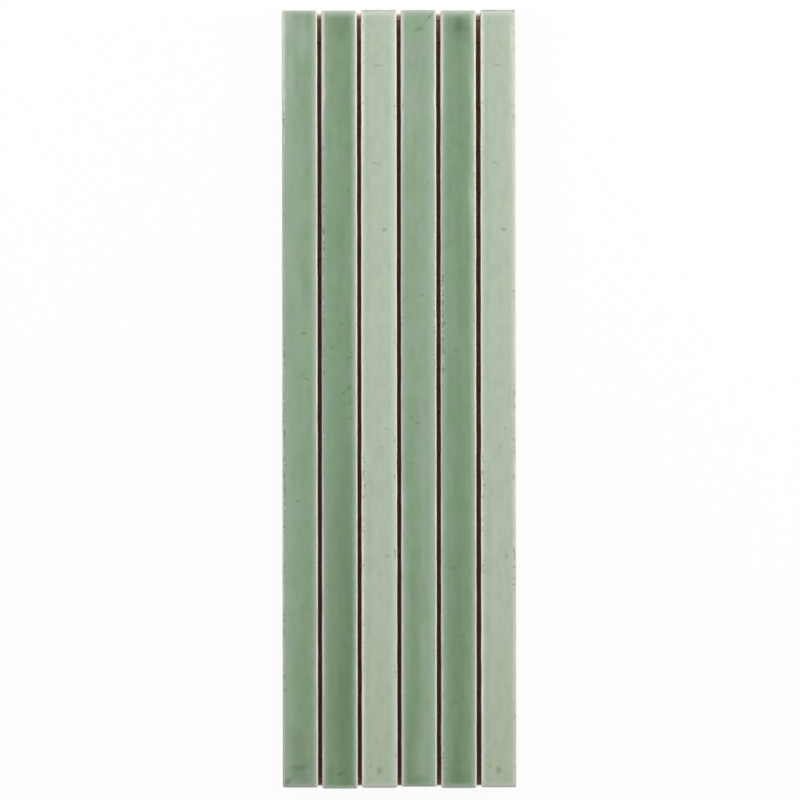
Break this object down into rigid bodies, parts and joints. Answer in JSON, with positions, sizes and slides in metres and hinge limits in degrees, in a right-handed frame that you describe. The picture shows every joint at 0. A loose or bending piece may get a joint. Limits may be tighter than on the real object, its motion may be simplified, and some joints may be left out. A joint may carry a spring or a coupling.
{
  "type": "brick mosaic tile",
  "caption": "Sheet of long narrow glazed clay sticks laid side by side on an open fibreglass net, with open joints for grout.",
  "frame": {"origin": "middle of the sheet, on the plane of the net's underside", "axes": "+X across the sticks, +Y along them, +Z out of the glazed face"},
  "size_m": [0.0902, 0.3004, 0.009],
  "materials": {
    "mid_green_glaze": "glossy glaze over red clay",
    "dark_green_glaze": "glossy glaze over red clay",
    "pale_green_glaze": "glossy glaze over red clay",
    "net": "woven glass fibre, coated"
  },
  "bodies": {
    "root": {"stick_1": "mid_green_glaze", "stick_2": "dark_green_glaze", "stick_3": "pale_green_glaze", "stick_4": "mid_green_glaze", "stick_5": "dark_green_glaze", "stick_6": "pale_green_glaze", "backing_net": "net"}
  },
  "joints": []
}
